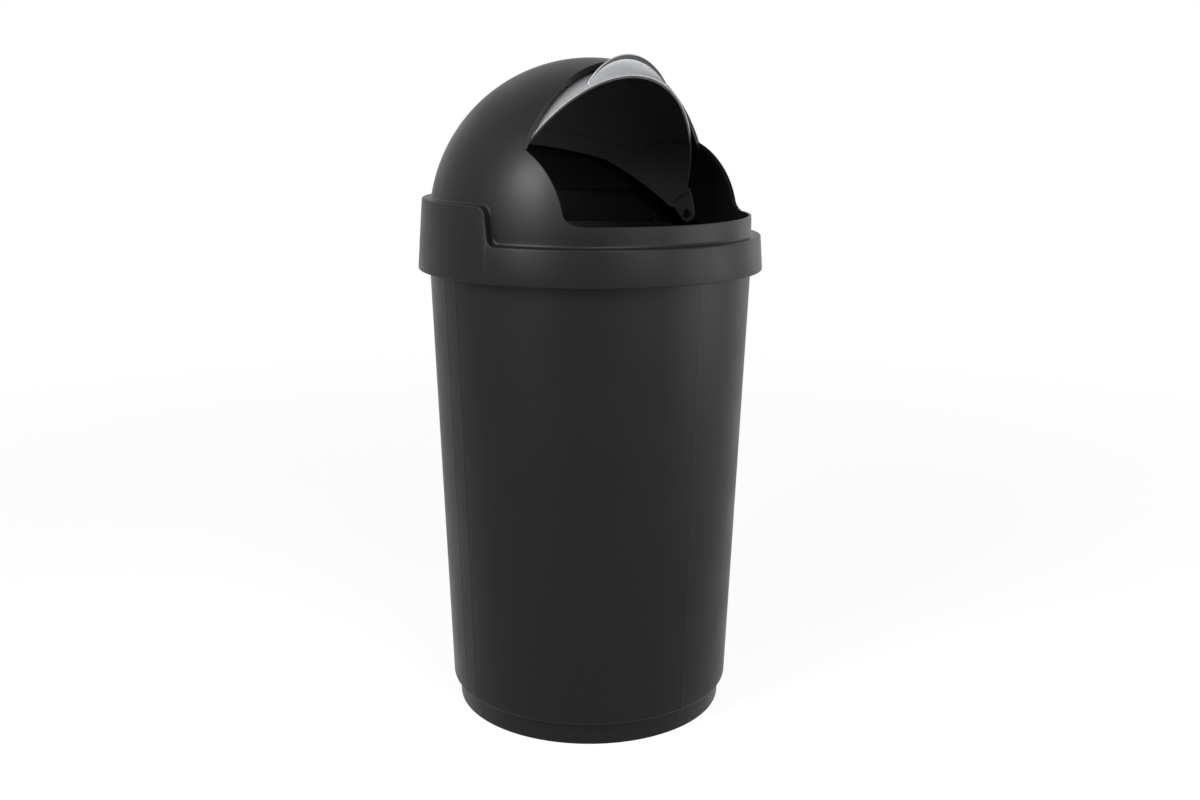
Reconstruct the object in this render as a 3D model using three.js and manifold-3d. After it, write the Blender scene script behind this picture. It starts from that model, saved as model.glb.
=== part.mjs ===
// Dome top waste receptacle: a tapered round tub, a lift-off domed lid with an overhanging
// collar, and a swing flap that is hung on two spigots inside the dome.
// Millimetres, +Z up, origin on the floor under the middle of the tub, front towards -Y.
// "forward" is a distance towards the front, so a point's y is minus its forward.

import * as THREE from 'three';
import { mergeVertices } from 'three/addons/utils/BufferGeometryUtils.js';
import Module from 'manifold-3d';

const wasm = await Module();
wasm.setup();

// ---------------------------------------------------------------- driving dimensions

const segments = 60;            // facets round the tub and the lid
const flapStep = 6;             // degrees between the facets of the flap
const domeSteps = [15, 12];     // facets from the ledge to the dome's top, outside and inside
const ballSteps = 36;           // facets from pole to pole of the balls that trim the lid
const pinSteps = 24;            // facets round a spigot
const cornerSteps = 5;          // facets in a rounded corner of the opening
const earSteps = 48;            // facets round the ear's flare and the flap's tip
const earArcSteps = 14;         // facets round the ear's own edge
const meshGap = 0.3;            // least gap left between two pieces that touch

// tub
const wallFootRadius = 164.5;   // outside of the wall just above the step
const wallDraft = 2.05;         // degrees the wall leans out
const tubHeight = 551.5;
const tubWall = 2.6;
const footHeight = 26;          // height of the set-in foot ring
const footInset = 7.9;          // the foot ring is set in this far from the wall's lower end
const footLand = 4.4;           // width of the flat ring that stands on the floor
const footEdge = 1.0;           // rounding beside that flat ring
const floorLift = 5;            // the floor's underside stands this far off the ground
const stepFillet = 2.2;         // inside corner under the step
const stepRound = 3.4;          // rounded lower edge of the wall
const floorFillet = 4;
const rimReach = 5.6;           // how far the rolled rim stands out from the wall
const rimDrop = 9;              // depth of the rim's turned-down edge
const rimRound = 1.2;
const floorRibs = 8;
const floorRibHeight = 3.5;
const floorRibInner = 22;

// lid: dome and collar in one moulding
const lidWall = 2.8;
const domeInset = 1.8;          // from the top of the tub's wall in to the dome's outside
const domeSquat = 10.5;         // the dome's centre stands this far above the low ledge
const rimClearance = 0.8;       // room between the tub's rim and the collar
const collarDraft = 4.03;       // degrees the collar leans in towards its top
const collarDrop = 38.3;        // from the low ledge down to the collar's lower edge
const collarRise = 40;          // how much higher the ledge is round the back
const ledgeRound = 1.5;
const ledgeFillet = 3.5;
const collarEdge = 1.0;
const riserAzimuth = 83.0;      // degrees from the front to the foot of the step in the ledge
const riserLean = 10;           // degrees the step leans back
const riserFillet = 8;
const riserRound = 13;
const gussets = 5;              // small ribs in the high collar that rest on the tub's rim
const gussetWall = 2;
const gussetHeight = 10;
const gussetShort = 2;          // they end this far short of the dome's wall
const gussetSpread = 152;       // degrees between the first gusset and the last

// opening in the dome
const mouthForward = 39.5;      // upright plane of the opening's upper edge
const cheekWidth = 27.5;        // from the dome's outside in to the opening's side
const mouthCorner = 11;
const frontRim = 11;            // the front wall's top edge, above the dome's centre
const lipDepth = 5.6;           // return along the opening's upper edge, wall included
const lipThickness = 2.8;

// flap: shape in the closed position, places given from the dome's centre
const flapClearance = 3.9;      // the flap's radius is this much less than the dome's inside
const flapForward = 5.5;        // middle of the flap's own sphere
const flapUp = -1.8;
const flapShift = 0.6;          // clearance between the closed flap and the front rim
const flapWall = 2.5;
const flapTail = 35.6;          // upright plane of the closed flap's upper edge
const tailKnee = 112;           // height where that edge starts to slant to the ear
const tailLow = [8.5, 27];      // forward and height where the slanted edge ends
const swing = 68.4;             // degrees from closed to open

// recess for the silver face panel
const faceWall = 1.4;
const faceBack = 61;            // upright plane of the panel's upper edge
const faceMargin = 13;          // from the opening's side in to the panel's side
const coreWall = 2.0;           // flap wall behind the panel
const coreLap = 2;              // how far that wall runs under the border

// pivots
const pivotForward = 10.5;
const pivotUp = 0.8;
const spigotRadius = 5;
const spigotClearance = 0.4;
const spigotShow = 0.6;         // the spigot stands this far through the ear
const shoulderRadius = 8;
const shoulderStand = 3.5;      // the shoulder stands in from the dome's inside
const earRadius = 10.3;
const earWall = 2.5;
const earFlare = 15.4;          // degrees each side of the ear opens out
const earBite = 0.6;            // the flared end runs this far through the flap's wall
const earDirection = 49.6;      // degrees above the front that the ear points to
const earReach = 31;
const earKnee = 20;             // the ear is flat inside this radius
const tipRadius = 23;           // the flap's tip ends on this circle round the pivot

// finger grip on the face panel
const gripHalfWidth = 68;
const gripArc = 92;             // radius of the grip's curved outer edge
const gripTilt = 18.7;          // degrees the grip rises from the closed flap
const gripStand = 2.5;          // stands proud of the flap at its ends
const gripRise = 4.8;           // its ends' height above the flap's lower edge
const gripWall = 2.2;
const gripLip = 5;              // width of the turned edge
const gripLipTurn = 26;         // degrees that edge is turned down
const gripBack = 12;            // where the grip's back runs out on the flap, above its edge
const gripHollow = [0.25, 0.8]; // where the underside bends, as shares of its run and rise
const gripSaddle = [0.25, 0.7]; // the same for the top, as shares from the flap outwards
const gripNose = [0.25, 0.6];   // the edge's roundest point, as shares of the grip's wall
const gripNoseTop = 0.4;        // the edge's upper corner is set back by this share of the wall
const gripStations = 24;
const gripSteps = 4;            // facets across the grip's underside and across its top

// ---------------------------------------------------------------- places that follow

const lowLedge = tubHeight + meshGap + lidWall;
const highLedge = lowLedge + collarRise;
const domeCentre = lowLedge + domeSquat;
const collarBottom = lowLedge - collarDrop;
const footRadius = wallFootRadius - footInset;
const wallTopRadius = wallFootRadius + (tubHeight - footHeight) * Math.tan(radians(wallDraft));
const rimRadius = wallTopRadius + rimReach;
const collarRadius = rimRadius + rimClearance + lidWall
  + (tubHeight - collarBottom) * Math.tan(radians(collarDraft));
const domeRadius = wallTopRadius - domeInset;
const domeInner = domeRadius - lidWall;
const rimTop = domeCentre + frontRim;
const mouthHalfWidth = domeRadius - cheekWidth;
const pivot = new THREE.Vector3(0, -pivotForward, domeCentre + pivotUp);
const flapMiddle = new THREE.Vector3(0, -flapForward, domeCentre + flapUp);
const flapRadius = domeInner - flapClearance;
const flapLow = rimTop + flapShift;
const faceHalfWidth = mouthHalfWidth - faceMargin;
const shoulderFace = domeInner - shoulderStand;
const earInset = shoulderFace - meshGap - earWall;
const farAway = 400;            // a length that clears the whole part

// ---------------------------------------------------------------- materials

const blackPlastic = new THREE.MeshStandardMaterial({ color: 0x2b2b2c, roughness: 0.5, metalness: 0 });
const lidPlastic = new THREE.MeshStandardMaterial({ color: 0x2d2d2e, roughness: 0.48, metalness: 0 });
const flapPlastic = new THREE.MeshStandardMaterial({ color: 0x1f1f20, roughness: 0.55, metalness: 0 });
const silverFace = new THREE.MeshStandardMaterial({ color: 0xb9babc, roughness: 0.35, metalness: 0.6 });

// ---------------------------------------------------------------- helpers

function radians(degrees) {
  return degrees * Math.PI / 180;
}

// A closed three.js geometry as a solid. Repeated corners are merged, slivers that collapse
// to a line are dropped and the faces are turned outwards.
function solid(geometry) {
  const bare = geometry.clone();
  bare.deleteAttribute('normal');
  bare.deleteAttribute('uv');
  const merged = mergeVertices(bare, 1e-4);
  const positions = merged.attributes.position.array;
  const index = merged.index.array;
  const triangles = [];
  let volume = 0;
  const corner = [new THREE.Vector3(), new THREE.Vector3(), new THREE.Vector3()];
  for (let i = 0; i < index.length; i += 3) {
    const [a, b, c] = [index[i], index[i + 1], index[i + 2]];
    if (a === b || b === c || c === a) continue;
    triangles.push(a, b, c);
    [a, b, c].forEach((vertex, k) => corner[k].fromArray(positions, vertex * 3));
    volume += corner[0].dot(corner[1].cross(corner[2]));
  }
  if (volume < 0) {
    for (let i = 0; i < triangles.length; i += 3) {
      [triangles[i], triangles[i + 1]] = [triangles[i + 1], triangles[i]];
    }
  }
  return new wasm.Manifold(new wasm.Mesh({
    numProp: 3,
    vertProperties: Float32Array.from(positions),
    triVerts: Uint32Array.from(triangles),
  }));
}

function geometryOf(body) {
  const mesh = body.getMesh();
  const geometry = new THREE.BufferGeometry();
  geometry.setAttribute('position', new THREE.Float32BufferAttribute(mesh.vertProperties, 3));
  geometry.setIndex(Array.from(mesh.triVerts));
  geometry.computeVertexNormals();
  return geometry;
}

function piece(name, body, material) {
  const mesh = new THREE.Mesh(geometryOf(body), material);
  mesh.name = name;
  return mesh;
}

// A profile of [radius, height] points turned round the Z axis.
function turned(profile, steps = segments) {
  const points = profile.map(([radius, height]) => new THREE.Vector2(radius, height));
  return new THREE.LatheGeometry(points, steps).rotateX(Math.PI / 2);
}

// Points of an arc from one angle to another, in degrees, ends included.
function arc(centreX, centreY, radius, from, to, steps) {
  return Array.from({ length: steps + 1 }, (_, i) => {
    const angle = radians(from + (to - from) * i / steps);
    return [centreX + radius * Math.cos(angle), centreY + radius * Math.sin(angle)];
  });
}

// An outline of [forward, height] points pushed along X, from one x to the other.
function slab(outline, fromX, toX) {
  const shape = new THREE.Shape(outline.map(([forward, height]) => new THREE.Vector2(forward, height)));
  const geometry = new THREE.ExtrudeGeometry(shape, { depth: toX - fromX, bevelEnabled: false });
  const place = new THREE.Matrix4().set(
    0, 0, 1, fromX,
    -1, 0, 0, 0,
    0, 1, 0, 0,
    0, 0, 0, 1);
  return solid(geometry.applyMatrix4(place));
}

// A box between two x values, two forward values and two heights.
function block(x, forward, height) {
  const geometry = new THREE.BoxGeometry(x[1] - x[0], forward[1] - forward[0], height[1] - height[0]);
  geometry.translate((x[0] + x[1]) / 2, -(forward[0] + forward[1]) / 2, (height[0] + height[1]) / 2);
  return solid(geometry);
}

// A round bar along X through a point.
function barX(radius, fromX, toX, centre, steps = pinSteps) {
  const geometry = new THREE.CylinderGeometry(radius, radius, toX - fromX, steps);
  geometry.rotateZ(Math.PI / 2);
  geometry.translate((fromX + toX) / 2, centre.y, centre.z);
  return solid(geometry);
}

// A closed skin swept round the Z axis, whose profile may change with the azimuth. Each
// profile starts and ends on the axis and they all have the same number of points.
function swept(profileAt, azimuths) {
  const rings = azimuths.map((azimuth) => profileAt(azimuth));
  const count = rings[0].length;
  const positions = [];
  rings.forEach((ring, i) => {
    const azimuth = radians(azimuths[i]);
    for (const [radius, height] of ring) {
      positions.push(radius * Math.sin(azimuth), -radius * Math.cos(azimuth), height);
    }
  });
  const index = [];
  for (let i = 0; i < rings.length; i++) {
    const next = (i + 1) % rings.length;
    for (let j = 0; j + 1 < count; j++) {
      const [a, b, c, d] = [i * count + j, next * count + j, next * count + j + 1, i * count + j + 1];
      index.push(a, b, c, a, c, d);
    }
  }
  const geometry = new THREE.BufferGeometry();
  geometry.setAttribute('position', new THREE.Float32BufferAttribute(positions, 3));
  geometry.setIndex(index);
  return solid(geometry);
}

// ---------------------------------------------------------------- tub

function tubSolid() {
  const lean = Math.tan(radians(wallDraft));
  const footTop = footRadius + footHeight * lean;
  const floorTop = floorLift + tubWall;
  const shelf = footHeight + tubWall;
  const footOutside = [
    [0, floorLift],
    [footRadius - footEdge - footLand - footEdge, floorLift],
    [footRadius - footEdge - footLand, 0],
    [footRadius - footEdge, 0],
    [footRadius, footEdge],
    ...arc(footTop + stepFillet, footHeight - stepFillet, stepFillet, 180, 90, 3),
  ];
  const wallOutside = [
    ...arc(wallFootRadius - stepRound, footHeight + stepRound, stepRound, -90, 0, 4),
    [wallTopRadius - tubWall * lean, tubHeight - tubWall],
    [rimRadius - tubWall, tubHeight - tubWall],
    [rimRadius - tubWall, tubHeight - rimDrop],
    [rimRadius, tubHeight - rimDrop],
    ...arc(rimRadius - rimRound, tubHeight - rimRound, rimRound, 0, 90, 2),
  ];
  const inside = [
    ...arc(wallTopRadius - tubWall + rimRound, tubHeight - rimRound, rimRound, 90, 180, 2),
    ...arc(wallFootRadius - stepRound - tubWall, shelf + stepRound, stepRound, 0, -90, 3),
    ...arc(footTop - tubWall + stepFillet, shelf - stepFillet, stepFillet, 90, 180, 2),
    ...arc(footRadius - tubWall - floorFillet, floorTop + floorFillet, floorFillet, 0, -90, 3),
    [0, floorTop],
  ];
  let tub = solid(turned([...footOutside, ...wallOutside, ...inside]));
  const ribEnd = footRadius - footEdge - footLand;
  for (let i = 0; i < floorRibs; i++) {
    const rib = new THREE.BoxGeometry(ribEnd - floorRibInner, tubWall, floorRibHeight + tubWall / 2);
    rib.translate((ribEnd + floorRibInner) / 2, 0, floorLift - floorRibHeight / 2 + tubWall / 4);
    rib.rotateZ(2 * Math.PI * (i + 0.5) / floorRibs);
    tub = tub.add(solid(rib));
  }
  return tub;
}

// ---------------------------------------------------------------- lid

function collarRadiusAt(height) {
  return collarRadius - (height - collarBottom) * Math.tan(radians(collarDraft));
}

// The ledge's S-shaped step, seen flat: the length along the collar is x, from the foot of
// the riser. inset moves the curve into the wall, for the underside.
function ledgeStep(inset) {
  const lean = radians(riserLean);
  const low = lowLedge - inset;
  const high = highLedge - inset;
  const fillet = riserFillet + inset;
  const round = riserRound - inset;
  const footX = inset / Math.cos(lean) - inset * Math.tan(lean);
  const filletX = footX + fillet * (1 - Math.sin(lean)) * Math.tan(lean);
  const filletMiddle = filletX - fillet * Math.cos(lean);
  const roundX = footX + (high - low - round * (1 - Math.sin(lean))) * Math.tan(lean);
  const roundMiddle = roundX + round * Math.cos(lean);
  const heightAt = (x) => {
    if (x <= filletMiddle) return low;
    if (x <= filletX) return low + fillet - Math.sqrt(fillet ** 2 - (x - filletMiddle) ** 2);
    if (x <= roundX) return low + (x - footX) / Math.tan(lean);
    if (x < roundMiddle) return high - round + Math.sqrt(round ** 2 - (x - roundMiddle) ** 2);
    return high;
  };
  const turn = (steps) => Array.from({ length: steps + 1 }, (_, i) => Math.sin(Math.PI / 2 * i / steps));
  const stops = [
    ...turn(4).map((share) => filletMiddle + (filletX - filletMiddle) * share),
    ...turn(5).map((share) => roundMiddle - (roundMiddle - roundX) * share).reverse(),
  ];
  return { heightAt, stops };
}

// Azimuths of the lid's facets: even all round, and closer over the step on each side.
function lidAzimuths(step) {
  const perDegree = radians(1) * collarRadiusAt(lowLedge);
  const stops = step.stops.map((x) => riserAzimuth + x / perDegree);
  const spacing = 360 / segments;
  const half = [];
  for (let azimuth = 0; azimuth <= 180 + 1e-6; azimuth += spacing) {
    const nearStep = azimuth > stops[0] - spacing / 2 && azimuth < stops[stops.length - 1] + spacing / 2;
    if (!nearStep) half.push(azimuth);
  }
  const right = [...half, ...stops].sort((a, b) => a - b);
  const offMiddle = right.filter((azimuth) => azimuth > 0 && azimuth < 180 - 1e-6);
  const left = offMiddle.map((azimuth) => 360 - azimuth).reverse();
  return [...right, ...left];
}

function ledgeHeight(step, azimuth) {
  const fromFront = Math.min(azimuth, 360 - azimuth);
  const perDegree = radians(1) * collarRadiusAt(lowLedge);
  return step.heightAt((fromFront - riserAzimuth) * perDegree);
}

// The dome's profile from a height up to the pole: upright below its centre, round above.
function domeProfile(radius, fromHeight, steps) {
  const rise = fromHeight - domeCentre;
  const start = rise < 0 ? rise / radius : Math.asin(rise / radius);
  return Array.from({ length: steps + 1 }, (_, i) => {
    const turn = start + (Math.PI / 2 - start) * i / steps;
    if (i === steps) return [0, domeCentre + radius];
    return turn < 0
      ? [radius, domeCentre + turn * radius]
      : [radius * Math.cos(turn), domeCentre + radius * Math.sin(turn)];
  });
}

function lidOutside(step, azimuth) {
  const ledge = ledgeHeight(step, azimuth);
  const top = collarRadiusAt(ledge);
  const dome = domeProfile(domeRadius, ledge + ledgeFillet, domeSteps[0]);
  const wall = dome[0][0];
  return [
    [0, collarBottom],
    [collarRadius - collarEdge, collarBottom],
    [collarRadius, collarBottom + collarEdge],
    ...arc(top - ledgeRound, ledge - ledgeRound, ledgeRound, 0, 90, 2),
    ...arc(wall + ledgeFillet, ledge + ledgeFillet, ledgeFillet, 270, 180, 3).slice(0, -1),
    ...dome,
  ];
}

// The room under the lid, up to a depth of the wall.
function lidRoom(depth) {
  const step = ledgeStep(depth);
  const below = collarBottom - meshGap;
  const profileAt = (azimuth) => {
    const ledge = ledgeHeight(step, azimuth);
    return [
      [0, below],
      [collarRadiusAt(below) - depth, below],
      [collarRadiusAt(ledge) - depth, ledge],
      ...domeProfile(domeRadius - depth, ledge, domeSteps[1]),
    ];
  };
  return swept(profileAt, lidAzimuths(step));
}

function ball(radius) {
  return solid(turned(domeBall(radius)));
}

function domeBall(radius) {
  const half = arc(0, domeCentre, radius, -90, 90, ballSteps);
  return half.map(([x, z], i) => [i % ballSteps ? x : 0, z]);
}

function mouthCutter() {
  const top = domeCentre + domeRadius + lidWall;
  const shape = new THREE.Shape();
  shape.moveTo(-mouthHalfWidth, top);
  shape.lineTo(-mouthHalfWidth, rimTop + mouthCorner);
  shape.absarc(-mouthHalfWidth + mouthCorner, rimTop + mouthCorner, mouthCorner, Math.PI, 1.5 * Math.PI);
  shape.absarc(mouthHalfWidth - mouthCorner, rimTop + mouthCorner, mouthCorner, 1.5 * Math.PI, 0);
  shape.lineTo(mouthHalfWidth, top);
  const geometry = new THREE.ExtrudeGeometry(shape, {
    depth: farAway,
    bevelEnabled: false,
    curveSegments: cornerSteps,
  });
  geometry.rotateX(Math.PI / 2);
  geometry.translate(0, -mouthForward, 0);
  return solid(geometry);
}

// The return that stiffens the opening's upper edge and hides the flap's upper edge.
function mouthLip() {
  const room = block(
    [-mouthHalfWidth, mouthHalfWidth],
    [mouthForward - lipThickness, mouthForward + lipThickness],
    [rimTop, farAway + domeCentre]);
  return ball(domeRadius - lidWall / 2).subtract(ball(domeRadius - lipDepth)).intersect(room);
}

function gusset(azimuth) {
  const inner = domeInner + gussetShort;
  const outer = collarRadiusAt(lowLedge) - lidWall / 2;
  const low = lowLedge - lidWall;
  const rib = new THREE.BoxGeometry(outer - inner, gussetWall, gussetHeight);
  rib.translate((inner + outer) / 2, 0, low + gussetHeight / 2);
  rib.rotateZ(radians(azimuth - 90));
  return solid(rib);
}

function lidSolid() {
  const step = ledgeStep(0);
  let lid = swept((azimuth) => lidOutside(step, azimuth), lidAzimuths(step));
  lid = lid.subtract(lidRoom(lidWall)).add(mouthLip()).subtract(mouthCutter());
  for (let i = 0; i < gussets; i++) {
    lid = lid.add(gusset(180 + gussetSpread * (i / (gussets - 1) - 0.5)));
  }
  const midWall = lidRoom(lidWall / 2);
  for (const side of [-1, 1]) {
    const ends = (near, far) => (side > 0 ? [near, far] : [-far, -near]);
    const shoulder = barX(shoulderRadius, ...ends(shoulderFace, collarRadius), pivot);
    const spigot = barX(spigotRadius, ...ends(earInset - spigotShow, shoulderFace + lidWall), pivot);
    lid = lid.add(shoulder.intersect(midWall)).add(spigot);
  }
  return lid;
}

// ---------------------------------------------------------------- flap, drawn closed

// A ball round the flap's own middle, with its poles on the sides.
function flapBall(radius) {
  const half = arc(0, 0, radius, -90, 90, 180 / flapStep);
  const points = half.map(([x, y], i) => new THREE.Vector2(i % (half.length - 1) ? x : 0, y));
  const geometry = new THREE.LatheGeometry(points, 360 / flapStep).rotateZ(Math.PI / 2);
  return solid(geometry.translate(flapMiddle.x, flapMiddle.y, flapMiddle.z));
}

function flapSkin(outer, inner) {
  return flapBall(outer).subtract(flapBall(inner));
}

// Everything in front of the closed flap's upper edge and above its lower edge.
function flapRoom() {
  const [lowForward, lowUp] = tailLow;
  const outline = [
    [lowForward, flapLow],
    [farAway, flapLow],
    [farAway, domeCentre + farAway],
    [flapTail, domeCentre + farAway],
    [flapTail, domeCentre + tailKnee],
    [lowForward, domeCentre + lowUp],
  ];
  const tips = barX(tipRadius, -farAway, farAway, pivot, earSteps);
  return slab(outline, -farAway, farAway).subtract(tips);
}

function faceRoom(halfWidth, back, low) {
  return block([-halfWidth, halfWidth], [back, farAway], [low, domeCentre + farAway]);
}

// The ear: a flat tongue round the spigot that flares up and joins the flap's tip.
function ear(side) {
  const outerFace = earInset + earWall;
  const sink = flapWall + earBite;
  const profile = [
    [0, earInset],
    [earKnee + 2, earInset],
    [earReach, earInset - sink],
    [earReach, outerFace - sink],
    [earKnee, outerFace],
    [0, outerFace],
  ];
  const cone = turned(profile, earSteps);
  cone.rotateY(side * Math.PI / 2);
  cone.translate(0, pivot.y, pivot.z);
  const flare = 90 + earFlare;
  const run = Math.sqrt(earReach ** 2 - earRadius ** 2) + earWall;
  const along = (angle, radius, reach) => {
    const normal = radians(earDirection + angle);
    const away = radians(earDirection + angle - Math.sign(angle) * 90);
    return [
      pivotForward + radius * Math.cos(normal) + reach * Math.cos(away),
      pivot.z + radius * Math.sin(normal) + reach * Math.sin(away),
    ];
  };
  const outline = [
    along(-flare, earRadius, run),
    ...arc(pivotForward, pivot.z, earRadius, earDirection - flare, earDirection - 360 + flare, earArcSteps),
    along(flare, earRadius, run),
  ];
  const ends = side > 0 ? [0, farAway] : [-farAway, 0];
  return solid(cone).intersect(slab(outline, ...ends));
}

function flapShell() {
  const border = flapSkin(flapRadius, flapRadius - flapWall)
    .subtract(faceRoom(faceHalfWidth + meshGap, faceBack - meshGap, flapLow - flapWall));
  const coreOuter = flapRadius - faceWall - meshGap;
  const core = flapSkin(coreOuter, coreOuter - coreWall)
    .intersect(faceRoom(faceHalfWidth + coreLap, faceBack - coreLap, flapLow - flapWall));
  let shell = border.add(core).intersect(flapRoom());
  for (const side of [-1, 1]) shell = shell.add(ear(side));
  return shell.subtract(barX(spigotRadius + spigotClearance, -farAway, farAway, pivot));
}

// The flap's outer surface: how far forward it is at an x and a height.
function flapSurface(x, height, radius = flapRadius) {
  return flapForward + Math.sqrt(radius ** 2 - x ** 2 - (height - flapMiddle.z) ** 2);
}

// Points of a curve with one control point, ends included.
function bend(from, control, to, steps) {
  return Array.from({ length: steps + 1 }, (_, i) => {
    const t = i / steps;
    const mix = (k) => (1 - t) ** 2 * from[k] + 2 * t * (1 - t) * control[k] + t ** 2 * to[k];
    return [mix(0), mix(1)];
  });
}

// A point between two others, by a share of the run and a share of the rise.
function between(from, to, shares) {
  return [from[0] + shares[0] * (to[0] - from[0]), from[1] + shares[1] * (to[1] - from[1])];
}

// The grip: a crescent shelf with a hollow underside and a turned-down edge, so that the
// fingers catch it from below when the flap is closed.
function grip() {
  const tilt = radians(gripTilt);
  const lipTilt = radians(gripTilt - gripLipTurn);
  const chord = Math.sqrt(gripArc ** 2 - gripHalfWidth ** 2);
  const deepest = gripArc - chord;
  const root = flapRadius - faceWall / 2;
  const endForward = flapSurface(gripHalfWidth, flapLow + gripRise) + gripStand;
  const sections = Array.from({ length: gripStations + 1 }, (_, i) => {
    const x = gripHalfWidth * (2 * i / gripStations - 1);
    const reach = Math.sqrt(gripArc ** 2 - x ** 2) - chord;
    const share = reach / deepest;
    const lip = gripLip * Math.sqrt(share);
    const edge = [endForward + reach * Math.cos(tilt), flapLow + gripRise + reach * Math.sin(tilt)];
    const inner = [edge[0] - lip * Math.cos(lipTilt), edge[1] - lip * Math.sin(lipTilt)];
    const start = [flapSurface(x, flapLow), flapLow];
    const backHeight = edge[1] + gripWall + gripBack * share;
    const back = [flapSurface(x, backHeight), backHeight];
    const top = [edge[0] - gripNoseTop * gripWall, edge[1] + gripWall];
    const outline = [
      [flapSurface(x, flapLow, root), flapLow],
      ...bend(start, between(start, inner, gripHollow), inner, gripSteps),
      edge,
      [edge[0] + gripNose[0] * gripWall, edge[1] + gripNose[1] * gripWall],
      ...bend(top, between(back, top, gripSaddle), back, gripSteps),
      [flapSurface(x, backHeight, root), backHeight],
    ];
    return outline.map(([forward, height]) => [x, -forward, height]);
  });
  return loft(sections);
}

// A closed solid through sections that all have the same number of points.
function loft(sections) {
  const count = sections[0].length;
  const index = [];
  for (let i = 0; i + 1 < sections.length; i++) {
    for (let j = 0; j < count; j++) {
      const next = (j + 1) % count;
      const [a, b, c, d] = [i * count + j, i * count + next, (i + 1) * count + next, (i + 1) * count + j];
      index.push(a, b, c, a, c, d);
    }
  }
  const cap = (start, order) => {
    const outline = sections[start].map(([, y, z]) => new THREE.Vector2(y, z));
    for (const [a, b, c] of THREE.ShapeUtils.triangulateShape(outline, [])) {
      const base = start * count;
      index.push(...(order ? [base + a, base + b, base + c] : [base + a, base + c, base + b]));
    }
  };
  const spinsLeft = THREE.ShapeUtils.area(sections[0].map(([, y, z]) => new THREE.Vector2(y, z))) > 0;
  cap(0, !spinsLeft);
  cap(sections.length - 1, spinsLeft);
  const geometry = new THREE.BufferGeometry();
  geometry.setAttribute('position', new THREE.Float32BufferAttribute(sections.flat(2), 3));
  geometry.setIndex(index);
  return solid(geometry);
}

function flapFace() {
  const panel = flapSkin(flapRadius, flapRadius - faceWall)
    .intersect(faceRoom(faceHalfWidth, faceBack, flapLow));
  return panel.add(grip());
}

// ---------------------------------------------------------------- assembly

const bin = new THREE.Group();
bin.add(piece('tub', tubSolid(), blackPlastic));
bin.add(piece('lid', lidSolid(), lidPlastic));

// The flap turns about its pivot: it is drawn closed and stands open here.
const flap = new THREE.Group();
flap.position.copy(pivot);
flap.rotation.x = -radians(swing);
for (const [name, body, material] of [
  ['flap_shell', flapShell(), flapPlastic],
  ['flap_face', flapFace(), silverFace],
]) {
  const mesh = piece(name, body, material);
  mesh.position.copy(pivot).negate();
  flap.add(mesh);
}
bin.add(flap);

export default bin;
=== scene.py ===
import math
import bmesh
import bpy
from mathutils import Matrix, Vector


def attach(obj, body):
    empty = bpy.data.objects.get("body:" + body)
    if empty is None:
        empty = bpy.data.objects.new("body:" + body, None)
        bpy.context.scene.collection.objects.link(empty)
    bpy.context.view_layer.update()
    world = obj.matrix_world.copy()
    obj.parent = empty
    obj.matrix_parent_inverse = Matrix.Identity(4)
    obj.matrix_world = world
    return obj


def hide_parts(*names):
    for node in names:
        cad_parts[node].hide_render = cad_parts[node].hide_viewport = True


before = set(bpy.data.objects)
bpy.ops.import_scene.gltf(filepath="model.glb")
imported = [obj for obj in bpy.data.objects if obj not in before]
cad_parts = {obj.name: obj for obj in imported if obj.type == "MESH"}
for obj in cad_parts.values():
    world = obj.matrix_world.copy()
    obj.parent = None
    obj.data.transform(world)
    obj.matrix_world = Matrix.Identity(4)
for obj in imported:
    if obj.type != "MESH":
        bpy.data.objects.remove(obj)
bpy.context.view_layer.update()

# Dome top waste bin: black polypropylene tub and lid, and a swing flap with a silver face.
# Sizes are in mm. The bin's front looks to -Y, and "forward" is a distance that way.

print("frame loaded")

perMetre = 1000               # mm

meshCare = {
    "weld": 1e-6,             # m, closer corners of one skin become one
    "seamWeld": 2e-5,         # m, the same after the boolean steps
    "sliver": 1e-6,           # m, shorter edges are dissolved
    "sharp": 28,              # degrees, steeper edges stay sharp in the shading
}


# --- general helpers

def toLinear(hexColour):
    # sRGB hex to the linear values that shader sockets take
    channels = [int(hexColour[i:i + 2], 16) / 255 for i in (1, 3, 5)]
    linear = [c / 12.92 if c <= 0.04045 else ((c + 0.055) / 1.055) ** 2.4 for c in channels]
    return (*linear, 1.0)


def addNode(tree, kind, settings=None, values=None, links=None):
    # one shader node, with its settings, its socket values and the outputs that feed it
    node = tree.nodes.new(kind)
    for name, value in (settings or {}).items():
        setattr(node, name, value)
    for socket, value in (values or {}).items():
        node.inputs[socket].default_value = value
    for socket, output in (links or {}).items():
        tree.links.new(output, node.inputs[socket])
    return node


def arc(centreX, centreY, radius, start, end, steps):
    # points of an arc, angles in degrees
    angles = [math.radians(start + (end - start) * i / steps) for i in range(steps + 1)]
    return [(centreX + radius * math.cos(a), centreY + radius * math.sin(a)) for a in angles]


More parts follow.
